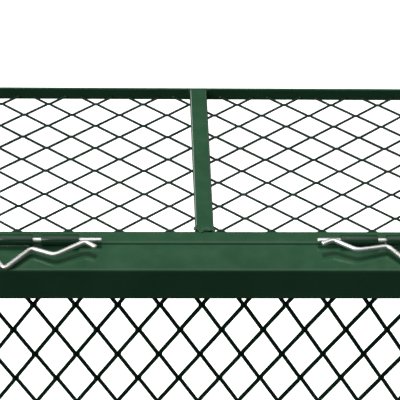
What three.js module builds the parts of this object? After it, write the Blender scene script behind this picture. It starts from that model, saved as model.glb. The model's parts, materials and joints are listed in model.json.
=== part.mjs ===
// Round bale feeder: a four-sided pen of square tube and expanded metal, open at the top and
// bottom, with a narrow mesh lid hinged along the front rail and another along the back rail.
// Each lid turns on two wire clips, and each clip pulls out endwise to take its lid off.
//
// Millimetres, +Z up. +X runs along the front rail, +Y runs from the front rail to the back.
// The origin is on the ground under the middle of the pen.

import * as THREE from 'three';

// ---- driving dimensions -------------------------------------------------------------------

const PEN_WIDTH = 1372;
const PEN_DEPTH = 2032;
const PEN_HEIGHT = 1016;
const TOUCH_GAP = 0.3;

const RAIL = 40;
const RAIL_WALL = 2;
const RAIL_CORNER = 2.5;
const GROUND_CLEARANCE = 63.5;

const SLIM = 19;
const SLIM_WALL = 1.5;
const SLIM_CORNER = 3;
const UPRIGHT_SPACING = 0.5;

const SHEET = 1.2;
const WALL_SHEET_SETBACK = 18.3;

const LID_REACH = 256.4;
const LID_GAP = 0.8;
const LID_END_GAP = 4;
const CENTRE_BAR_HEIGHT = 9.5;
const CENTRE_BAR_OFFSET = 4.4;
const ANGLE_LEG = 14;
const ANGLE_THICK = 2.5;
const ANGLE_DROP = 0.5;

const HINGE_FORWARD = 1.3;
const BARREL_RADIUS = 5.5;
const BARREL_BORE = 3.6;
const LID_BARREL = { start: 132, length: 38 };
const RAIL_BARREL = { start: 178.5, length: 38 };

const WIRE_RADIUS = 2.5;
const CLIP_TIP = 109;
const CLIP_END = 239;
const CLIP_WIDTH = 22;

const TAB_WIDTH = 40;
const TAB_THICK = 4;
const TAB_REACH = 24;
const TAB_DROP = 14;
const TAB_FROM_HINGE = 190;

const CORNER_SEGMENTS = 1;
const BARREL_SIDES = 20;
const WIRE_SIDES = 8;
const WIRE_STEPS = 72;

// The hinge pins lie over the rail's inner corner, with their barrels just clear of its top.
const HINGE_HEIGHT = PEN_HEIGHT + TOUCH_GAP + BARREL_RADIUS;
const HINGE_SETBACK = RAIL + LID_GAP / 2 - HINGE_FORWARD;

// ---- materials ----------------------------------------------------------------------------

const green = { color: 0x1f4630, roughness: 0.42, metalness: 0.15 };
const zinc = { color: 0xc9ccce, roughness: 0.3, metalness: 1.0 };

function named(name, geometry, finish) {
  const mesh = new THREE.Mesh(geometry, new THREE.MeshStandardMaterial(finish));
  mesh.name = name;
  return mesh;
}

// ---- sections -----------------------------------------------------------------------------

function roundedRectangle(path, width, height, radius) {
  const right = width / 2;
  const top = height / 2;
  path.moveTo(-right + radius, -top);
  path.lineTo(right - radius, -top);
  path.absarc(right - radius, -top + radius, radius, -Math.PI / 2, 0);
  path.lineTo(right, top - radius);
  path.absarc(right - radius, top - radius, radius, 0, Math.PI / 2);
  path.lineTo(-right + radius, top);
  path.absarc(-right + radius, top - radius, radius, Math.PI / 2, Math.PI);
  path.lineTo(-right, -top + radius);
  path.absarc(-right + radius, -top + radius, radius, Math.PI, 1.5 * Math.PI);
  path.closePath();
  return path;
}

// A hollow rectangular tube along local Z, centred on the origin, open at both ends.
function tubeGeometry(width, height, wall, corner, length) {
  const section = roundedRectangle(new THREE.Shape(), width, height, corner);
  const bore = roundedRectangle(new THREE.Path(), width - 2 * wall, height - 2 * wall, corner - wall);
  section.holes.push(bore);
  const geometry = new THREE.ExtrudeGeometry(section, {
    depth: length,
    bevelEnabled: false,
    curveSegments: CORNER_SEGMENTS,
  });
  return geometry.translate(0, 0, -length / 2);
}

const railTube = (length) => tubeGeometry(RAIL, RAIL, RAIL_WALL, RAIL_CORNER, length);
const slimTube = (length) => tubeGeometry(SLIM, SLIM, SLIM_WALL, SLIM_CORNER, length);

// Turns local Z onto +X, with local X onto +Y.
function alongX(geometry) {
  const turn = new THREE.Matrix4().set(0, 0, 1, 0, 1, 0, 0, 0, 0, 1, 0, 0, 0, 0, 0, 1);
  return geometry.applyMatrix4(turn);
}

// Turns local Z onto +Y, with local Y onto +X.
function alongY(geometry) {
  const turn = new THREE.Matrix4().set(0, 1, 0, 0, 0, 0, 1, 0, 1, 0, 0, 0, 0, 0, 0, 1);
  return geometry.applyMatrix4(turn);
}

// Cuts both ends of a tube that lies along X at 45 degrees, longest on its outer, -Y face.
function mitreEnds(geometry) {
  const point = geometry.attributes.position;
  for (let i = 0; i < point.count; i += 1) {
    const inward = point.getY(i) + RAIL / 2;
    point.setX(i, point.getX(i) - Math.sign(point.getX(i)) * inward);
  }
  return geometry;
}

function plate(x, y, z) {
  return new THREE.BoxGeometry(x[1] - x[0], y[1] - y[0], z[1] - z[0])
    .translate((x[0] + x[1]) / 2, (y[0] + y[1]) / 2, (z[0] + z[1]) / 2);
}

// An angle along X: its upright leg stands at y = 0 and its flat leg runs back from the foot.
function angleGeometry(leg, thick, length) {
  const section = new THREE.Shape();
  section.moveTo(0, 0);
  section.lineTo(leg, 0);
  section.lineTo(leg, thick);
  section.lineTo(thick, thick);
  section.lineTo(thick, leg);
  section.lineTo(0, leg);
  section.closePath();
  const geometry = new THREE.ExtrudeGeometry(section, { depth: length, bevelEnabled: false });
  return alongX(geometry.translate(0, 0, -length / 2));
}

// ---- one side of the pen ------------------------------------------------------------------

// A side is made facing -Y and then turned about Z. Its post is the one at its left end.
function side(name, postName, span, reach, turn) {
  const group = new THREE.Group();
  group.rotation.z = turn;
  const mid = -reach + RAIL / 2;
  const inner = span - 2 * (RAIL + TOUCH_GAP);
  const bottomTop = GROUND_CLEARANCE + RAIL;
  const railUnder = PEN_HEIGHT - RAIL;

  const topRail = named(`${name}_top_rail`,
    mitreEnds(alongX(railTube(span - TOUCH_GAP * Math.SQRT2))), green);
  topRail.position.set(0, mid, PEN_HEIGHT - RAIL / 2);

  const bottomRail = named(`${name}_bottom_rail`, alongX(railTube(inner)), green);
  bottomRail.position.set(0, mid, GROUND_CLEARANCE + RAIL / 2);

  const postLength = railUnder - TOUCH_GAP;
  const post = named(postName, railTube(postLength), green);
  post.position.set(-span / 2 + RAIL / 2, mid, postLength / 2);

  const front = -reach + WALL_SHEET_SETBACK;
  const sheet = named(`${name}_mesh`, plate(
    [-inner / 2, inner / 2],
    [front, front + SHEET],
    [bottomTop + TOUCH_GAP, railUnder - TOUCH_GAP]), green);
  group.add(topRail, bottomRail, post, sheet);

  const uprightLength = railUnder - bottomTop - 2 * TOUCH_GAP;
  for (const [label, end] of [['left', -1], ['right', 1]]) {
    const upright = named(`${name}_upright_${label}`, slimTube(uprightLength), green);
    upright.position.set(
      end * span * UPRIGHT_SPACING / 2,
      front + SHEET + TOUCH_GAP + SLIM / 2,
      (railUnder + bottomTop) / 2);
    group.add(upright);
  }
  return group;
}

// ---- lids ---------------------------------------------------------------------------------

function barrel(name, run, end) {
  const ring = [
    new THREE.Vector2(BARREL_BORE, -run.length / 2),
    new THREE.Vector2(BARREL_RADIUS, -run.length / 2),
    new THREE.Vector2(BARREL_RADIUS, run.length / 2),
    new THREE.Vector2(BARREL_BORE, run.length / 2),
    new THREE.Vector2(BARREL_BORE, -run.length / 2),
  ];
  const mesh = named(name, new THREE.LatheGeometry(ring, BARREL_SIDES), green);
  mesh.rotation.z = Math.PI / 2;
  mesh.position.set(end * (run.start + run.length / 2), 0, 0);
  return mesh;
}

// The spring leg's bends from its tip to the end of the clip: how far each lies along from the
// middle of the rail, how far out from the pin and how far above it, and how far before and
// after it the wire leaves the straight. The two clips of a lid are bent a little differently.
const SPRING_LEG = {
  left: [
    { along: 114.8, out: 14, up: 2.6, ease: 0 },
    { along: 125.5, out: 7.4, up: 4.4, ease: 4 },
    { along: 155.5, out: 23.6, up: 1, ease: 5 },
    { along: 179.5, out: 12.8, up: 0, ease: 4.5 },
    { along: 205, out: 41.5, up: -1.4, ease: 5 },
  ],
  right: [
    { along: 112.5, out: 11, up: 4.6, ease: 0 },
    { along: 124, out: 5.9, up: 5.8, ease: 4 },
    { along: 147.5, out: 17.8, up: 2.7, ease: 5 },
    { along: 179.5, out: 9.6, up: 0.5, ease: 4.5 },
    { along: 205, out: 41.5, up: -1.4, ease: 5 },
  ],
};

// The rest of a clip, which both have alike: the heel, the square-set round end and the pin.
const CLIP_REST = [
  { along: 219, out: CLIP_WIDTH, up: 0, ease: 5 },
  { along: CLIP_END, out: CLIP_WIDTH, up: 0, ease: CLIP_WIDTH / 2 },
  { along: CLIP_END, out: 0, up: 0, ease: CLIP_WIDTH / 2 },
  { along: CLIP_TIP, out: 0, up: 0, ease: 0 },
];

// Straight stretches between bends, each bend rounded over its own ease.
function bentRoute(bends, end) {
  const corners = bends.map(({ along, out, up }) => new THREE.Vector3(end * along, -out, up));
  const route = new THREE.CurvePath();
  let from = corners[0];
  for (let i = 1; i < corners.length - 1; i += 1) {
    const corner = corners[i];
    const back = corners[i - 1].clone().sub(corner).setLength(bends[i].ease).add(corner);
    const on = corners[i + 1].clone().sub(corner).setLength(bends[i].ease).add(corner);
    if (from.distanceTo(back) > TOUCH_GAP) {
      route.add(new THREE.LineCurve3(from, back));
    }
    route.add(new THREE.QuadraticBezierCurve3(back, corner, on));
    from = on;
  }
  route.add(new THREE.LineCurve3(from, corners[corners.length - 1]));
  return route;
}

// A clip is one wire: a spring leg that waves along over the rail, a round end, and a straight
// leg that is the hinge pin.
function clip(name, label, end) {
  const wire = new THREE.Shape();
  wire.absarc(0, 0, WIRE_RADIUS, 0, 2 * Math.PI);
  const geometry = new THREE.ExtrudeGeometry(wire, {
    steps: WIRE_STEPS,
    curveSegments: WIRE_SIDES / 2,
    extrudePath: bentRoute([...SPRING_LEG[label], ...CLIP_REST], end),
  });
  return named(name, geometry, zinc);
}

// One lid with its hinges, made along the front rail's hinge line and turned about Z.
function lid(name, turn) {
  const group = new THREE.Group();
  group.rotation.z = turn;
  const hinge = new THREE.Group();
  hinge.position.set(0, -PEN_DEPTH / 2 + HINGE_SETBACK, HINGE_HEIGHT);
  group.add(hinge);

  const top = PEN_HEIGHT - HINGE_HEIGHT;
  const length = PEN_WIDTH - 2 * (RAIL + LID_END_GAP);
  const tubeFront = RAIL + LID_GAP - HINGE_SETBACK;
  const tubeBack = tubeFront + SLIM;
  const armLength = LID_REACH - tubeBack - 2 * TOUCH_GAP;
  const armMiddle = (LID_REACH + tubeBack) / 2;

  const hingeTube = named(`${name}_lid_hinge_tube`, alongX(slimTube(length)), green);
  hingeTube.position.set(0, tubeFront + SLIM / 2, top - SLIM / 2);
  hinge.add(hingeTube);

  for (const [label, end] of [['left', -1], ['right', 1]]) {
    const arm = named(`${name}_lid_arm_${label}`, alongY(slimTube(armLength)), green);
    arm.position.set(end * (length - SLIM) / 2, armMiddle, top - SLIM / 2);
    hinge.add(arm);
  }

  const nose = named(`${name}_lid_nose_angle`,
    angleGeometry(ANGLE_LEG, ANGLE_THICK, length), green);
  nose.position.set(0, LID_REACH, top - ANGLE_DROP - ANGLE_LEG);
  hinge.add(nose);

  const bar = named(`${name}_lid_centre_bar`, alongY(
    tubeGeometry(CENTRE_BAR_HEIGHT, SLIM, SLIM_WALL, SLIM_CORNER, armLength)), green);
  bar.position.set(-CENTRE_BAR_OFFSET, armMiddle, top - CENTRE_BAR_HEIGHT / 2);
  hinge.add(bar);

  // The sheet lies between the arms, under the centre bar.
  const sheetReach = length / 2 - SLIM - TOUCH_GAP;
  const sheetTop = top - CENTRE_BAR_HEIGHT - TOUCH_GAP;
  hinge.add(named(`${name}_lid_mesh`, plate(
    [-sheetReach, sheetReach],
    [tubeBack + TOUCH_GAP, LID_REACH - TOUCH_GAP],
    [sheetTop - SHEET, sheetTop]), green));

  for (const [label, end] of [['left', -1], ['right', 1]]) {
    hinge.add(barrel(`${name}_lid_barrel_${label}`, LID_BARREL, end));
    hinge.add(barrel(`${name}_rail_barrel_${label}`, RAIL_BARREL, end));
    hinge.add(clip(`${name}_clip_${label}`, label, end));
  }
  return group;
}

// ---- lid rests ----------------------------------------------------------------------------

// A bent tab on the inner face of a side rail, under the end of a lid.
function lidRest(name, endX, endY) {
  const section = new THREE.Shape();
  section.moveTo(0, 0);
  section.lineTo(TAB_REACH, 0);
  section.lineTo(TAB_REACH, -TAB_THICK);
  section.lineTo(TAB_THICK, -TAB_THICK);
  section.lineTo(TAB_THICK, -TAB_DROP);
  section.lineTo(0, -TAB_DROP);
  section.closePath();
  const geometry = new THREE.ExtrudeGeometry(section, { depth: TAB_WIDTH, bevelEnabled: false });
  geometry.translate(0, 0, -TAB_WIDTH / 2).rotateX(Math.PI / 2);
  if (endX > 0) {
    geometry.rotateZ(Math.PI);
  }
  const mesh = named(name, geometry, green);
  mesh.position.set(
    endX * (PEN_WIDTH / 2 - RAIL - TOUCH_GAP),
    endY * (PEN_DEPTH / 2 - HINGE_SETBACK - TAB_FROM_HINGE),
    PEN_HEIGHT - SLIM - TOUCH_GAP);
  return mesh;
}

// ---- the feeder ---------------------------------------------------------------------------

const feeder = new THREE.Group();
feeder.add(
  side('front', 'front_left_post', PEN_WIDTH, PEN_DEPTH / 2, 0),
  side('right', 'front_right_post', PEN_DEPTH, PEN_WIDTH / 2, Math.PI / 2),
  side('back', 'back_right_post', PEN_WIDTH, PEN_DEPTH / 2, Math.PI),
  side('left', 'back_left_post', PEN_DEPTH, PEN_WIDTH / 2, -Math.PI / 2),
  lid('front', 0),
  lid('back', Math.PI),
  lidRest('front_left_lid_rest', -1, -1),
  lidRest('front_right_lid_rest', 1, -1),
  lidRest('back_left_lid_rest', -1, 1),
  lidRest('back_right_lid_rest', 1, 1),
);

export default feeder;
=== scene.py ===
"""Round bale feeder: the looks. Tubes, expanded metal, hinges, clips and weld beads are built
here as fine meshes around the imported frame, in metres, +Z up."""
import json
import math

import bpy
import numpy as np
from mathutils import Matrix, Vector


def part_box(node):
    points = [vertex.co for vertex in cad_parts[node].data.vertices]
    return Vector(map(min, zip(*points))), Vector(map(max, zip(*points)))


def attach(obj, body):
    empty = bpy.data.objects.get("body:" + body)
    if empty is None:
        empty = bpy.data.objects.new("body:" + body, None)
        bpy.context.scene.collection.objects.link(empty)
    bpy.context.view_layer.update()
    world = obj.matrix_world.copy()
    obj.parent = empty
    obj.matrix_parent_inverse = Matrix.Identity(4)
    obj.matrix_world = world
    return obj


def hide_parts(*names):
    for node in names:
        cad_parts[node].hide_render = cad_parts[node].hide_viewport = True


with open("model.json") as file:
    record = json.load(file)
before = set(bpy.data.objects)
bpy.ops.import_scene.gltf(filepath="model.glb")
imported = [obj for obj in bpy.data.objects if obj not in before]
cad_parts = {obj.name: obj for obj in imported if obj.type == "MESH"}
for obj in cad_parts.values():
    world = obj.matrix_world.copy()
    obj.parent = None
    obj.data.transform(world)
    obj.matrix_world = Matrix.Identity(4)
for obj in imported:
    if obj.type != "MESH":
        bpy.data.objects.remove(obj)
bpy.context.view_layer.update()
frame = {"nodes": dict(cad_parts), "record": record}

MM = 0.001
X, Y, Z = 0, 1, 2
SQUARE = ((-1, -1), (1, -1), (1, 1), (-1, 1))
rng = np.random.default_rng(7)

# ---- the frame's names and places -------------------------------------------------------------

# The way each end lies along Y, the way each hand lies along X as seen from the front, and the
# axis that each wall runs along. A clip's hand is as seen from outside its own end.
ENDS = {"front": -1, "back": 1}
HANDS = {"left": -1, "right": 1}
WALLS = {"front": X, "back": X, "left": Y, "right": Y}
PINS = {joint["name"]: Vector(joint["pos_m"])
        for joint in frame["record"]["behaviour"]["joints"] if joint["type"] == "hinge"}
TUBE_ENDINGS = ("_rail", "_post", "_upright_left", "_upright_right", "_hinge_tube",
                "_lid_arm_left", "_lid_arm_right", "_centre_bar")
ANGLE_ENDINGS = ("_nose_angle", "_lid_rest")

# ---- sizes that the frame doesn't give, in metres ---------------------------------------------

# Rails and posts are wider than SLIM_LIMIT, and every other tube is slim.
SLIM_LIMIT = 30 * MM
RAIL_WALL, RAIL_CORNER = 2 * MM, 2.5 * MM
SLIM_WALL, SLIM_CORNER = 1.5 * MM, 3 * MM
CORNER_STEPS = 6
FLAT_MARGIN = 0.8 * MM
ANGLE_EDGE = 0.5 * MM

# long and short are the ways of a diamond. A strand is strand wide at its bonds and, measured
# across its slope, spread times as wide between them, from BEND_REACH past each bond. lean, in
# degrees, is how far its flat side tips out of the sheet, and bond is half a bond's length.
WALL_MESH = dict(long=71.5 * MM, short=43.1 * MM, strand=3.5 * MM, spread=1.1, thick=2.4 * MM,
                 lean=22, bond=2.4 * MM)
LID_MESH = dict(long=52.1 * MM, short=38.1 * MM, strand=1.8 * MM, spread=1.12, thick=1.5 * MM,
                lean=-20, bond=1.5 * MM)
# One bond of a wall sheet is this far below its top edge and this far to the side of its middle,
# and one bond of a lid sheet is this far behind its pins and to the side of its middle.
WALL_BOND_DROP = 25 * MM
WALL_BOND_SIDE = -6.7 * MM
LID_BOND_SIDE = -13.4 * MM
LID_BOND_BACK = 13.2 * MM
STRAND_WAVER = 0.03 * MM
STRAND_END_MARGIN = 0.5 * MM
SHORTEST_STRETCH = 1 * MM
BEND_REACH = 0.9 * MM

BARREL_BORE = 3.6 * MM
BARREL_EASE = 0.6 * MM
BARREL_EASE_MIDDLE = 0.3 * BARREL_EASE
BARREL_SIDES = 40
WIRE_RADIUS = 2.5 * MM
WIRE_SIDES = 18
WIRE_STEPS = 320
WIRE_TAPER = (0.72, 0.93, 1.0)
BEND_STEPS = 12

# The bends of a clip in millimetres: how far along from the middle of the rail, how far out from
# the pin, how far above it, and how far before and after the bend the wire leaves the straight.
SPRING_LEG = {
    "left": [(114.8, 14, 2.6, 0), (125.5, 7.4, 4.4, 4), (155.5, 23.6, 1, 5),
             (179.5, 12.8, 0, 4.5), (205, 41.5, -1.4, 5)],
    "right": [(112.5, 11, 4.6, 0), (124, 5.9, 5.8, 4), (147.5, 17.8, 2.7, 5),
              (179.5, 9.6, 0.5, 4.5), (205, 41.5, -1.4, 5)],
}
CLIP_REST = [(219, 22, 0, 5), (239, 22, 0, 11), (239, 0, 0, 11), (109, 0, 0, 0)]

BLOB_RINGS, BLOB_SIDES = 5, 8
SEAM_SIDES = 8
SEAM_STEPS_PER_RIDGE = 4
SEAM_WAVER = 0.04
SEAM_TAPER = (0.5, 0.85, 1.0)
SEAM_INSET = 1.5 * MM
MITRE_INSET = 2 * MM
FLAT_SEAM_HEIGHT = 0.7 * MM
LID_BARREL_SEAM_OFFSET = 3.8 * MM
RAIL_BARREL_SEAM_OFFSET = 3.6 * MM
BARREL_SEAM_LIFT = 0.4 * MM
BARREL_SEAM_INSET = 2 * MM
BARREL_SEAM = dict(width=4.5 * MM, height=1.4 * MM)
REST_SEAM = dict(width=3 * MM, height=1 * MM)
WALL_SPOT = dict(share=0.6, size=2.6 * MM)
LID_SPOT = dict(share=0.7, size=1.7 * MM)
NEAR_WELD_LUMPS = 22

# ---- materials --------------------------------------------------------------------------------

DUST = (0.16, 0.21, 0.16, 1)
SCUFF = (0.07, 0.13, 0.09, 1)
COLD_ZINC, WARM_ZINC = (0.95, 0.96, 0.98, 1), (0.90, 0.89, 0.84, 1)
ZINC_STAIN = (0.42, 0.40, 0.36, 1)


def grey(level):
    """A grey that can go into a colour socket."""
    return (level, level, level, 1)


class Nodes:
    """A small helper round one material's node tree."""

    def __init__(self, name):
        self.material = bpy.data.materials.new(name)
        self.material.use_nodes = True
        self.tree = self.material.node_tree
        self.shader = self.tree.nodes["Principled BSDF"]
        self.place = self.add("ShaderNodeTexCoord").outputs["Object"]

    def add(self, kind, **inputs):
        node = self.tree.nodes.new(kind)
        for key, value in inputs.items():
            self.put(node.inputs[key.replace("_", " ")], value)
        return node

    def put(self, socket, value):
        if isinstance(value, bpy.types.NodeSocket):
            self.tree.links.new(value, socket)
        else:
            socket.default_value = value

    def noise(self, scale, detail, stretch=None):
        place = self.place
        if stretch is not None:
            place = self.add("ShaderNodeMapping", Vector=place, Scale=stretch).outputs[0]
        return self.add("ShaderNodeTexNoise", Vector=place, Scale=scale, Detail=detail).outputs[0]

    def span(self, value, low, high, to_low, to_high):
        node = self.add("ShaderNodeMapRange", Value=value)
        for index, number in enumerate((low, high, to_low, to_high), start=1):
            node.inputs[index].default_value = number
        return node.outputs[0]

    def math(self, operation, first, second):
        node = self.add("ShaderNodeMath")
        node.operation = operation
        self.put(node.inputs[0], first)
        self.put(node.inputs[1], second)
        return node.outputs[0]

    def mix(self, factor, first, second):
        node = self.add("ShaderNodeMix")
        node.data_type = "RGBA"
        self.put(node.inputs["Factor"], factor)
        self.put(node.inputs["A"], first)
        self.put(node.inputs["B"], second)
        return node.outputs["Result"]

    def bump(self, height, distance, strength, under=None):
        node = self.add("ShaderNodeBump", Height=height, Distance=distance, Strength=strength)
        if under is not None:
            self.put(node.inputs["Normal"], under)
        return node.outputs[0]


def powder_coat(name, deep, bright, dust, peel, gloss):
    """Glossy powder coat: mottled colour, orange peel, a thin film of dust on what faces up."""
    n = Nodes(name)
    mottle = n.span(n.noise(14, 5), 0.35, 0.65, 0, 1)
    speck = n.span(n.noise(900, 2), 0.35, 0.65, 0, 1)
    coat = n.mix(mottle, deep, bright)
    coat = n.mix(n.math("MULTIPLY", speck, 0.16), coat, (*(0.55 * c for c in deep[:3]), 1))
    normal = n.add("ShaderNodeNewGeometry").outputs["Normal"]
    facing = n.add("ShaderNodeSeparateXYZ", Vector=normal)
    up = n.span(facing.outputs[Z], 0.55, 1, 0, 1)
    settled = n.span(n.noise(60, 6), 0.42, 0.78, 0, dust)
    film = n.math("MULTIPLY", up, settled)
    coat = n.mix(film, coat, DUST)
    scuff = n.span(n.noise(35, 8), 0.715, 0.75, 0, 0.3)
    coat = n.mix(scuff, coat, SCUFF)
    n.put(n.shader.inputs["Base Color"], coat)
    rough = n.span(n.noise(30, 5), 0.3, 0.7, 0.11, 0.17)
    n.put(n.shader.inputs["Roughness"], n.math("ADD", rough, n.math("MULTIPLY", film, 0.6)))
    n.shader.inputs["IOR"].default_value = 1.46
    n.shader.inputs["Specular IOR Level"].default_value = gloss
    skin = n.bump(n.noise(520, 3), 0.06 * MM, peel)
    n.put(n.shader.inputs["Normal"], n.bump(n.noise(60, 2), 0.12 * MM, peel * 0.6, skin))
    return n.material


def zinc_plate(name):
    """Bright zinc on drawn spring wire: fine drawing lines, dull spots and a warm tint."""
    n = Nodes(name)
    tint = n.span(n.noise(70, 4), 0.4, 0.62, 0, 1)
    colour = n.mix(tint, COLD_ZINC, WARM_ZINC)
    stain = n.span(n.noise(260, 5), 0.6, 0.72, 0, 0.55)
    n.put(n.shader.inputs["Base Color"], n.mix(stain, colour, ZINC_STAIN))
    n.shader.inputs["Metallic"].default_value = 1.0
    rough = n.span(n.noise(180, 4), 0.3, 0.7, 0.30, 0.50)
    n.put(n.shader.inputs["Roughness"], n.math("ADD", rough, n.math("MULTIPLY", stain, 0.25)))
    lines = n.noise(60, 3, (2, 60, 60))
    pits = n.bump(n.noise(700, 3), 0.08 * MM, 0.35)
    n.put(n.shader.inputs["Normal"], n.bump(lines, 0.1 * MM, 0.3, pits))
    return n.material


def pale_floor(name):
    """A matt pale floor that glows a little, so that it shows white."""
    n = Nodes(name)
    n.put(n.shader.inputs["Base Color"], n.mix(n.noise(3, 4), grey(0.93), grey(0.96)))
    n.shader.inputs["Roughness"].default_value = 0.9
    n.shader.inputs["Specular IOR Level"].default_value = 0.0
    n.shader.inputs["Emission Color"].default_value = grey(1)
    n.shader.inputs["Emission Strength"].default_value = 0.4
    return n.material


PAINT = powder_coat("green_powder_coat", deep=(0.012, 0.048, 0.021, 1),
                    bright=(0.016, 0.060, 0.028, 1), dust=0.05, peel=0.20, gloss=0.4)
# A darker copy of the green coat for the mesh strands: painted shade, standing in for the shade
# that makes the thin strands look near black.
MESH_PAINTED_SHADE = powder_coat("green_mesh_coat_painted_shade", deep=(0.004, 0.015, 0.008, 1),
                         bright=(0.006, 0.022, 0.011, 1), dust=0, peel=0.25, gloss=0.15)
# A darker copy of the green coat for the hinge barrels: painted shade, standing in for the shade
# that darkens the barrels beside the rail.
HINGE_PAINTED_SHADE = powder_coat("green_hinge_coat_painted_shade", deep=(0.006, 0.028, 0.012, 1),
                          bright=(0.009, 0.037, 0.017, 1), dust=0.02, peel=0.15, gloss=0.5)
ZINC = zinc_plate("zinc_plated_wire")

# ---- making pieces ----------------------------------------------------------------------------


def piece(name, points, faces, material, body, nodes=(), sharp=32):
    """A new visible piece, smooth except over edges sharper than sharp degrees."""
    mesh = bpy.data.meshes.new(name)
    mesh.from_pydata([tuple(p) for p in points], [], [tuple(f) for f in faces])
    mesh.materials.append(material)
    mesh.polygons.foreach_set("use_smooth", [True] * len(mesh.polygons))
    mesh.set_sharp_from_angle(angle=math.radians(sharp))
    made = bpy.data.objects.new(name, mesh)
    bpy.context.scene.collection.objects.link(made)
    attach(made, body)
    if nodes:
        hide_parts(*nodes)


class Shape:
    """Points and faces gathered from several closed bodies."""

    def __init__(self):
        self.points = []
        self.faces = []

    def take(self, points, faces):
        start = len(self.points)
        self.points.extend(points)
        self.faces.extend([tuple(start + i for i in face) for face in faces])


def rings_to_faces(count, sides, ends="capped"):
    """Faces of a skin over count rings of sides points each. Its ends are capped by flat
    faces, or the last ring is joined to the first."""
    faces = []
    for ring in range(count - 1):
        for side in range(sides):
            after = (side + 1) % sides
            a, b = ring * sides + side, ring * sides + after
            faces.append((a, b, b + sides, a + sides))
    last = (count - 1) * sides
    if ends == "capped":
        faces.append(tuple(reversed(range(sides))))
        faces.append(tuple(range(last, count * sides)))
    else:
        for side in range(sides):
            after = (side + 1) % sides
            faces.append((last + side, last + after, after, side))
    return faces


def body_of_node(node):
    """The name of the body that a node of the frame rides on."""
    bodies = frame["record"]["behaviour"]["bodies"]
    return next(body for body, nodes in bodies.items() if node in nodes)


# ---- tubes and angles -------------------------------------------------------------------------


def rounded_outline(width, height, radius):
    """The outline of a tube's section, with a point just inside each end of every flat."""
    outline = []
    for quarter, (sx, sy) in enumerate(((1, 1), (-1, 1), (-1, -1), (1, -1))):
        start = quarter * math.pi / 2
        centre = Vector((sx * (width / 2 - radius), sy * (height / 2 - radius)))
        along = Vector((math.cos(start + math.pi / 2), math.sin(start + math.pi / 2)))
        first = centre + radius * Vector((math.cos(start), math.sin(start)))
        outline.append(first - FLAT_MARGIN * along)
        for step in range(CORNER_STEPS + 1):
            angle = start + step * math.pi / 2 / CORNER_STEPS
            outline.append(centre + radius * Vector((math.cos(angle), math.sin(angle))))
        along = Vector((math.cos(start + math.pi), math.sin(start + math.pi)))
        outline.append(outline[-1] + FLAT_MARGIN * along)
    return outline


def tube(node):
    """Stands a finely rounded hollow tube where the frame has a plain one. A top rail's ends are
    cut at 45 degrees, so that its outer side is the longest."""
    low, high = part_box(node)
    size = high - low
    middle = (low + high) / 2
    axis = max((X, Y, Z), key=lambda i: size[i])
    first, second = (axis + 1) % 3, (axis + 2) % 3
    slim = size[first] <= SLIM_LIMIT
    wall, corner = (SLIM_WALL, SLIM_CORNER) if slim else (RAIL_WALL, RAIL_CORNER)
    outer = rounded_outline(size[first], size[second], corner)
    inner = rounded_outline(size[first] - 2 * wall, size[second] - 2 * wall, corner - wall)
    mitred = node.endswith("_top_rail")
    across = second if first == Z else first
    points = []
    for end, outline in ((-1, inner), (-1, outer), (1, outer), (1, inner)):
        for a, b in outline:
            point = Vector(middle)
            point[first] += a
            point[second] += b
            inward = 0.0
            if mitred:
                outward = (point[across] - middle[across]) * np.sign(middle[across])
                inward = size[across] / 2 - outward
            point[axis] = middle[axis] + end * (size[axis] / 2 - inward)
            points.append(point)
    faces = rings_to_faces(4, len(outer), ends="joined")
    piece(f"{node}_tube", points, faces, PAINT, body_of_node(node), [node])


def eased_angle(node):
    """Paints a bent or rolled angle of the frame and eases its edges."""
    solid = frame["nodes"][node]
    solid.data.materials.clear()
    solid.data.materials.append(PAINT)
    eased = solid.modifiers.new("eased edges", "BEVEL")
    eased.width = ANGLE_EDGE
    eased.segments = 3
    eased.limit_method = "ANGLE"


# ---- expanded metal ---------------------------------------------------------------------------


def wave(distance, bond):
    """Straight lines between -1, at a bond with the strand below, and +1, at a bond with the
    strand above."""
    turned = np.abs((distance + 0.5) % 1.0 - 0.5)
    return 2 * np.clip((turned - bond) / (0.5 - 2 * bond), 0, 1) - 1


def stretches_within(at, place, low, high):
    """The stretches of a zigzag that lie between low and high, cut where they leave it."""
    stretches, stretch = [], []
    for a0, a1, p0, p1 in zip(at, at[1:], place, place[1:]):
        near, far = 0.0, 1.0
        if p0 != p1:
            cuts = sorted(((low - p0) / (p1 - p0), (high - p0) / (p1 - p0)))
            near, far = max(near, cuts[0]), min(far, cuts[1])
        elif not low <= p0 <= high:
            far = -1.0
        if near < far:
            if not stretch:
                stretch.append((a0 + near * (a1 - a0), p0 + near * (p1 - p0)))
            stretch.append((a0 + far * (a1 - a0), p0 + far * (p1 - p0)))
        if stretch and far < 1.0:
            stretches.append(np.array(stretch))
            stretch = []
    if stretch:
        stretches.append(np.array(stretch))
    return [found for found in stretches if found[-1][0] - found[0][0] > SHORTEST_STRETCH]


def strand_skin(centres, widths, thick, lean, over, through):
    """Four points round each centre of a flat strand that leans in its sheet."""
    points = []
    for centre, wide in zip(centres, widths):
        for side, face in SQUARE:
            a = side * wide / 2
            b = face * thick / 2
            point = centre.copy()
            point[over] += a * math.cos(lean) + b * math.sin(lean)
            point[through] += b * math.cos(lean) - a * math.sin(lean)
            points.append(point)
    return points


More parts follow.
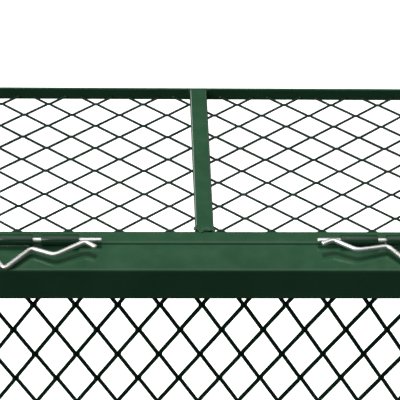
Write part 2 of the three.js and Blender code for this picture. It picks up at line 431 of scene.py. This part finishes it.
def expanded_metal(node, mesh, along, over, bond_along, bond_over):
    """A sheet of expanded metal in place of the frame's plate: rows of zigzag strands that
    join their neighbours at the bonds. along is the axis of the long way of the diamonds, and
    bond_along and bond_over give the place of one bond. Returns where strands end."""
    low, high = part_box(node)
    through = 3 - along - over
    depth = (low[through] + high[through]) / 2
    lean = math.radians(mesh["lean"])
    width = mesh["strand"] * math.cos(lean)
    half_short = mesh["short"] / 2
    swing = (half_short - width) / 2
    bond = mesh["bond"] / mesh["long"]
    past = bond + BEND_REACH / mesh["long"]
    steps = np.array([0, bond, past, 0.25, 0.5 - past, 0.5 - bond,
                      0.5, 0.5 + bond, 0.5 + past, 0.75, 1 - past, 1 - bond])
    steepness = 2 * swing / ((0.5 - 2 * bond) * mesh["long"])
    widening = mesh["spread"] * math.hypot(1, steepness) - 1
    first_row = math.floor((low[over] - bond_over) / half_short) - 1
    last_row = math.ceil((high[over] - bond_over) / half_short) + 1
    shape = Shape()
    ends = []
    for row in range(first_row, last_row + 1):
        middle = bond_over + (row + 0.5) * half_short
        start = bond_along + (row % 2) * mesh["long"] / 2
        turns = np.arange(math.floor((low[along] - start) / mesh["long"]) - 1,
                          math.ceil((high[along] - start) / mesh["long"]) + 1)
        at = (start + (turns[:, None] + steps[None, :]) * mesh["long"]).ravel()
        at = at[(at > low[along] + STRAND_END_MARGIN) & (at < high[along] - STRAND_END_MARGIN)]
        at = np.concatenate([[low[along]], at, [high[along]]])
        place = middle + swing * wave((at - start) / mesh["long"], bond)
        for stretch in stretches_within(at, place, low[over] + width / 2, high[over] - width / 2):
            centres = np.zeros((len(stretch), 3))
            centres[:, along] = stretch[:, 0]
            centres[:, over] = stretch[:, 1] + rng.normal(0, STRAND_WAVER, len(stretch))
            rise = (stretch[:, 1] - middle) / swing
            centres[:, through] = depth - rise * mesh["strand"] / 2 * math.sin(lean)
            turned = np.abs((2 * (stretch[:, 0] - start) / mesh["long"] + 0.5) % 1.0 - 0.5) / 2
            sloping = np.clip((turned - bond) / (past - bond), 0, 1)
            widths = mesh["strand"] * (1 + sloping * widening)
            faces = rings_to_faces(len(stretch), len(SQUARE))
            if (along + 1) % 3 != over:
                faces = [tuple(reversed(face)) for face in faces]
            shape.take(strand_skin(centres, widths, mesh["thick"], lean, over, through), faces)
            ends.extend((centres[0], centres[-1]))
    # The strands take the darker copy of the green coat, which is painted shade.
    piece(f"{node}_strands", shape.points, shape.faces, MESH_PAINTED_SHADE, body_of_node(node),
          [node], sharp=40)
    return ends


# ---- hinges -----------------------------------------------------------------------------------


def barrel(node):
    """A length of thick tube with eased edges, round the hinge line."""
    low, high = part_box(node)
    centre = (low + high) / 2
    radius = (high[Z] - low[Z]) / 2
    ease, inset = BARREL_EASE, BARREL_EASE_MIDDLE
    profile = [
        (low[X] + ease, BARREL_BORE), (low[X], BARREL_BORE + ease), (low[X], radius - ease),
        (low[X] + inset, radius - inset), (low[X] + ease, radius),
        (high[X] - ease, radius), (high[X] - inset, radius - inset),
        (high[X], radius - ease), (high[X], BARREL_BORE + ease), (high[X] - ease, BARREL_BORE),
    ]
    points = []
    for along, out in profile:
        for side in range(BARREL_SIDES):
            spin = 2 * math.pi * side / BARREL_SIDES
            y, z = centre[Y] + out * math.cos(spin), centre[Z] + out * math.sin(spin)
            points.append((along, y, z))
    faces = rings_to_faces(len(profile), BARREL_SIDES, ends="joined")
    # The barrels take the darker copy of the green coat, which is painted shade.
    piece(f"{node}_sleeve", points, faces, HINGE_PAINTED_SHADE, body_of_node(node), [node])


def bent_route(corners, eases, count):
    """Evenly spaced points along straight stretches, each corner rounded over its ease."""
    dense = [corners[0]]
    for before, corner, after, ease in zip(corners, corners[1:], corners[2:], eases[1:]):
        back = corner + (before - corner).normalized() * ease
        on = corner + (after - corner).normalized() * ease
        for step in range(BEND_STEPS + 1):
            share = step / BEND_STEPS
            dense.append(back.lerp(corner, share).lerp(corner.lerp(on, share), share))
    dense.append(corners[-1])
    dense = np.array([tuple(point) for point in dense])
    gone = np.concatenate([[0], np.cumsum(np.linalg.norm(np.diff(dense, axis=0), axis=1))])
    even = np.linspace(0, gone[-1], count)
    return np.stack([np.interp(even, gone, dense[:, i]) for i in range(3)], axis=1)


def swept_wire(route, radius, sides):
    """A round wire along a route, with eased ends."""
    rings = []
    forward = np.gradient(route, axis=0)
    forward /= np.linalg.norm(forward, axis=1)[:, None]
    side_way = np.cross(forward[0], (0.0, 0.0, 1.0))
    for index, (centre, ahead) in enumerate(zip(route, forward)):
        side_way = side_way - ahead * side_way.dot(ahead)
        side_way /= np.linalg.norm(side_way)
        up_way = np.cross(ahead, side_way)
        from_end = min(index, len(route) - 1 - index)
        thick = radius * WIRE_TAPER[min(from_end, len(WIRE_TAPER) - 1)]
        for side in range(sides):
            spin = 2 * math.pi * side / sides
            rings.append(centre + thick * (math.cos(spin) * side_way + math.sin(spin) * up_way))
    return rings, rings_to_faces(len(route), sides)


def clip(node, pin, hand, end, outward):
    """One clip: a waving spring leg, a round end and a straight leg through the barrels.
    end is the way along X that it lies, and outward the way its spring leg lies along Y."""
    bends = [*SPRING_LEG[hand], *CLIP_REST]
    corners = [pin + MM * Vector((end * along, outward * out, up)) for along, out, up, _ in bends]
    route = bent_route(corners, [ease * MM for *_, ease in bends], WIRE_STEPS)
    rings, faces = swept_wire(route, WIRE_RADIUS, WIRE_SIDES)
    piece(f"{node}_wire", rings, faces, ZINC, body_of_node(node), [node], sharp=50)


# ---- weld metal -------------------------------------------------------------------------------


def blob(shape, centre, radii, turn):
    """A small round lump of weld metal."""
    points = []
    for ring in range(BLOB_RINGS):
        tip = math.pi * (ring + 0.5) / BLOB_RINGS
        for side in range(BLOB_SIDES):
            spin = 2 * math.pi * side / BLOB_SIDES + turn
            points.append((
                centre[0] + radii[0] * math.sin(tip) * math.cos(spin),
                centre[1] + radii[1] * math.sin(tip) * math.sin(spin),
                centre[2] - radii[2] * math.cos(tip)))
    shape.take(points, rings_to_faces(BLOB_RINGS, BLOB_SIDES))


def spots(shape, places, share, size):
    """Spot welds on a share of the places: low lumps, rounder or longer by chance."""
    for place in places:
        if rng.random() < share:
            stretch = rng.uniform(0.8, 1.25)
            blob(shape, place, (size * stretch, size / stretch, size * 0.8), rng.uniform(0, 3))


def seam(shape, first, last, facing, width=5 * MM, height=1.3 * MM, pitch=2.5 * MM):
    """A weld bead from first to last, ridged like a row of coins, bulging the way it faces."""
    first, last = Vector(first), Vector(last)
    length = (last - first).length
    forward = (last - first).normalized()
    facing = Vector(facing).normalized()
    across = facing.cross(forward)
    count = max(6, round(length / pitch) * SEAM_STEPS_PER_RIDGE)
    phase = rng.uniform(0, math.pi)
    points = []
    for step in range(count + 1):
        gone = length * step / count
        ridge = abs(math.sin(phase + math.pi * gone / pitch))
        taper = SEAM_TAPER[min(step, count - step, len(SEAM_TAPER) - 1)]
        size = (0.8 + 0.24 * ridge + rng.normal(0, SEAM_WAVER)) * taper
        centre = first + forward * gone + across * rng.normal(0, SEAM_WAVER) * width
        for side in range(SEAM_SIDES):
            spin = 2 * math.pi * side / SEAM_SIDES
            rim = across * math.cos(spin) * width / 2 + facing * math.sin(spin) * height
            points.append(centre + size * rim)
    shape.take(points, rings_to_faces(count + 1, SEAM_SIDES))


def weld_end(shape, node, axis, end, skip=()):
    """Seams round one end of a tube, where it meets another piece. end is -1 or 1 along axis,
    and skip lists the sides, as (axis, -1 or 1), that have none."""
    low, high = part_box(node)
    first, second = (axis + 1) % 3, (axis + 2) % 3
    for across, along in ((first, second), (second, first)):
        for side in (-1, 1):
            if (across, side) in skip:
                continue
            start, facing = Vector(), Vector()
            start[axis] = (low if end < 0 else high)[axis]
            start[across] = (low if side < 0 else high)[across]
            start[along] = low[along] + SEAM_INSET
            finish = start.copy()
            finish[along] = high[along] - SEAM_INSET
            facing[across] = side
            facing[axis] = -end
            seam(shape, start, finish, facing)


def weld_corner(shape, end, hand):
    """The seams of one corner post: mitre, post top, and the bottom rails' ends."""
    low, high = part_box(f"{end}_{hand}_post")
    top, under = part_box(f"{end}_top_rail")[1][Z], high[Z]
    outer_x, inner_x = (low[X], high[X]) if hand == "left" else (high[X], low[X])
    outer_y, inner_y = (low[Y], high[Y]) if end == "front" else (high[Y], low[Y])
    in_x, in_y = -HANDS[hand], -ENDS[end]
    from_x, from_y = outer_x + MITRE_INSET * in_x, outer_y + MITRE_INSET * in_y
    flat = dict(height=FLAT_SEAM_HEIGHT)
    seam(shape, (from_x, from_y, top), (inner_x, inner_y, top), (0, 0, 1), **flat)
    seam(shape, (inner_x, inner_y, under), (inner_x, inner_y, top - MITRE_INSET), (in_x, in_y, 0))
    seam(shape, (from_x, outer_y, under), (inner_x, outer_y, under), (0, -in_y, 0), **flat)
    seam(shape, (from_x, inner_y, under), (inner_x, inner_y, under), (0, in_y, 0), **flat)
    seam(shape, (inner_x, from_y, under), (inner_x, inner_y, under), (in_x, 0, 0), **flat)
    weld_end(shape, f"{end}_bottom_rail", X, HANDS[hand])
    weld_end(shape, f"{hand}_bottom_rail", Y, ENDS[end], skip=[(X, HANDS[hand])])


def weld_rest(shape, end, hand):
    """The seams above and below one lid rest, where it meets the side rail."""
    low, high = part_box(f"{end}_{hand}_lid_rest")
    against = low[X] if hand == "left" else high[X]
    for z, up in ((high[Z], 1), (low[Z], -1)):
        seam(shape, (against, low[Y], z), (against, high[Y], z), (-HANDS[hand], 0, up), **REST_SEAM)


def weld_lid(shape, rail_shape, end, outward):
    """The seams of one lid's arms, centre bar and barrels, with the lumps that show where its
    centre bar meets its hinge tube, and the seams of the rail's barrels."""
    pin = PINS[f"{end}_lid_hinge"]
    bar_low, bar_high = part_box(f"{end}_lid_centre_bar")
    tube_end = bar_low[Y] if end == "front" else bar_high[Y]
    for hand in HANDS:
        weld_end(shape, f"{end}_lid_arm_{hand}", Y, outward)
        weld_end(shape, f"{end}_lid_arm_{hand}", Y, -outward, skip=[(Z, 1), (Z, -1)])
    weld_end(shape, f"{end}_lid_centre_bar", Y, outward, skip=[(Z, -1)])
    weld_end(shape, f"{end}_lid_centre_bar", Y, -outward, skip=[(Z, 1), (Z, -1)])
    for step in range(NEAR_WELD_LUMPS):
        across = bar_low[X] + (bar_high[X] - bar_low[X]) * (step + 0.5) / NEAR_WELD_LUMPS
        size = rng.uniform(1.5, 2.9) * MM
        centre = (across, tube_end - outward * rng.uniform(-1.5, 4.5) * MM, bar_high[Z])
        blob(shape, centre, (size, size * rng.uniform(0.8, 1.4), size * 0.62), rng.uniform(0, 3))
    for hand in HANDS:
        for owner, welded, way, offset in (
                ("lid", shape, -outward, LID_BARREL_SEAM_OFFSET),
                ("rail", rail_shape, outward, RAIL_BARREL_SEAM_OFFSET)):
            low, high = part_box(f"{end}_{owner}_barrel_{hand}")
            y, z = pin[Y] + way * offset, low[Z] + BARREL_SEAM_LIFT
            seam(welded, (low[X] + BARREL_SEAM_INSET, y, z), (high[X] - BARREL_SEAM_INSET, y, z),
                 (0, way, 1), **BARREL_SEAM)


# ---- the feeder -------------------------------------------------------------------------------

for node in sorted(frame["nodes"]):
    if node.endswith(TUBE_ENDINGS):
        tube(node)
    elif node.endswith(ANGLE_ENDINGS):
        eased_angle(node)
    elif "_barrel_" in node:
        barrel(node)
for end, outward in ENDS.items():
    for hand, side in HANDS.items():
        clip(f"{end}_clip_{hand}", PINS[f"{end}_lid_hinge"], hand, side * -outward, outward)

welds = {"root": Shape(), "front_lid": Shape(), "back_lid": Shape()}

# Mesh sheets. On the walls the diamonds stand on end, and on the lids they lie along the rail.
for side, over in WALLS.items():
    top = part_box(f"{side}_mesh")[1][Z]
    strand_ends = expanded_metal(f"{side}_mesh", WALL_MESH, Z, over,
                                 top - WALL_BOND_DROP, WALL_BOND_SIDE)
    spots(welds["root"], strand_ends, **WALL_SPOT)
for end, outward in ENDS.items():
    pin = PINS[f"{end}_lid_hinge"]
    strand_ends = expanded_metal(f"{end}_lid_mesh", LID_MESH, X, Y, -LID_BOND_SIDE * outward,
                                 pin[Y] - outward * LID_BOND_BACK)
    spots(welds[f"{end}_lid"], strand_ends, **LID_SPOT)

for end in ENDS:
    for hand in HANDS:
        weld_corner(welds["root"], end, hand)
        weld_rest(welds["root"], end, hand)
for side in WALLS:
    for hand in HANDS:
        for way in (-1, 1):
            weld_end(welds["root"], f"{side}_upright_{hand}", Z, way)
for end, outward in ENDS.items():
    weld_lid(welds[f"{end}_lid"], welds["root"], end, outward)
for body, shape in welds.items():
    piece(f"{body}_welds", shape.points, shape.faces, PAINT, body, sharp=70)

# ---- stage ------------------------------------------------------------------------------------

FLOOR_HALF = 60.0
SKY_BELOW, SKY_LOW, SKY_OVERHEAD = 0.05, 0.18, 1.5
SKY_HORIZON_AT, SKY_LOW_AT, SKY_OVERHEAD_AT = 0.5, 0.83, 1.0

# The camera stands this far to the left of the rail's middle, before its front and above its top.
CAMERA_LEFT, CAMERA_BEFORE, CAMERA_ABOVE = 0.0914, 1.489, 1.345
CAMERA_YAW, CAMERA_PITCH, CAMERA_ROLL = 3.07, 40.79, 2.13
CAMERA_LENS = 178.6


def stage():
    """The floor, which neither lights the pen nor shows in its gloss."""
    mesh = bpy.data.meshes.new("floor")
    corners = [(x * FLOOR_HALF, y * FLOOR_HALF, 0) for x, y in SQUARE]
    mesh.from_pydata(corners, [], [(0, 1, 2, 3)])
    mesh.materials.append(pale_floor("pale_floor"))
    floor = bpy.data.objects.new("floor", mesh)
    floor.visible_diffuse = False
    floor.visible_glossy = False
    bpy.context.scene.collection.objects.link(floor)


def sun(name, azimuth, elevation, strength, softness, glints=True):
    """A soft far light. Azimuth 0 stands on the camera's side of the pen, and 180 beyond it.
    Without glints it doesn't show in glossy reflections."""
    light = bpy.data.lights.new(name, "SUN")
    light.energy = strength
    light.angle = math.radians(softness)
    lamp = bpy.data.objects.new(name, light)
    lamp.visible_glossy = glints
    a, e = math.radians(azimuth), math.radians(elevation)
    towards = Vector((math.sin(a) * math.cos(e), -math.cos(a) * math.cos(e), math.sin(e)))
    lamp.rotation_mode = "QUATERNION"
    lamp.rotation_quaternion = towards.to_track_quat("Z", "Y")
    bpy.context.scene.collection.objects.link(lamp)


def sky():
    """Soft light that is strongest overhead and fades to dim at and below the horizon."""
    world = bpy.data.worlds.new("studio")
    bpy.context.scene.world = world
    world.use_nodes = True
    tree = world.node_tree
    back = tree.nodes["Background"]
    way = tree.nodes.new("ShaderNodeTexCoord")
    split = tree.nodes.new("ShaderNodeSeparateXYZ")
    ramp = tree.nodes.new("ShaderNodeValToRGB")
    span = tree.nodes.new("ShaderNodeMapRange")
    span.inputs["From Min"].default_value = -1.0
    tree.links.new(way.outputs["Generated"], split.inputs[0])
    tree.links.new(split.outputs[Z], span.inputs["Value"])
    tree.links.new(span.outputs[0], ramp.inputs[0])
    stops = ramp.color_ramp.elements
    stops[0].position, stops[0].color = SKY_HORIZON_AT, grey(SKY_BELOW)
    stops[1].position, stops[1].color = SKY_OVERHEAD_AT, grey(SKY_OVERHEAD)
    stops.new(SKY_LOW_AT).color = grey(SKY_LOW)
    tree.links.new(ramp.outputs[0], back.inputs[0])
    back.inputs[1].default_value = 1.0


def camera():
    """Looks down on the middle of the front rail from a little to its left."""
    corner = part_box("front_top_rail")[1]
    eye = Vector((-CAMERA_LEFT, corner[Y] - CAMERA_BEFORE, corner[Z] + CAMERA_ABOVE))
    yaw, pitch, roll = (math.radians(a) for a in (CAMERA_YAW, CAMERA_PITCH, CAMERA_ROLL))
    ahead = Vector((math.sin(yaw) * math.cos(pitch), math.cos(yaw) * math.cos(pitch),
                    -math.sin(pitch)))
    level = Vector((math.cos(yaw), -math.sin(yaw), 0))
    upright = level.cross(ahead)
    right = math.cos(roll) * level + math.sin(roll) * upright
    up = right.cross(ahead)
    data = bpy.data.cameras.new("camera")
    data.sensor_width = 36
    data.lens = CAMERA_LENS
    data.clip_start, data.clip_end = 0.1, 200
    view = bpy.data.objects.new("camera", data)
    turned = Matrix((right, up, -ahead)).transposed().to_4x4()
    view.matrix_world = Matrix.Translation(eye) @ turned
    bpy.context.scene.collection.objects.link(view)
    bpy.context.scene.camera = view


stage()
sky()
sun("key", azimuth=186, elevation=60, strength=3.1, softness=7, glints=False)
sun("fill", azimuth=-50, elevation=38, strength=1.5, softness=40)
sun("rim_left", azimuth=216, elevation=4, strength=1.2, softness=30)
sun("rim_right", azimuth=140, elevation=4, strength=0.2, softness=30)
camera()
bpy.context.scene.view_settings.view_transform = "Standard"
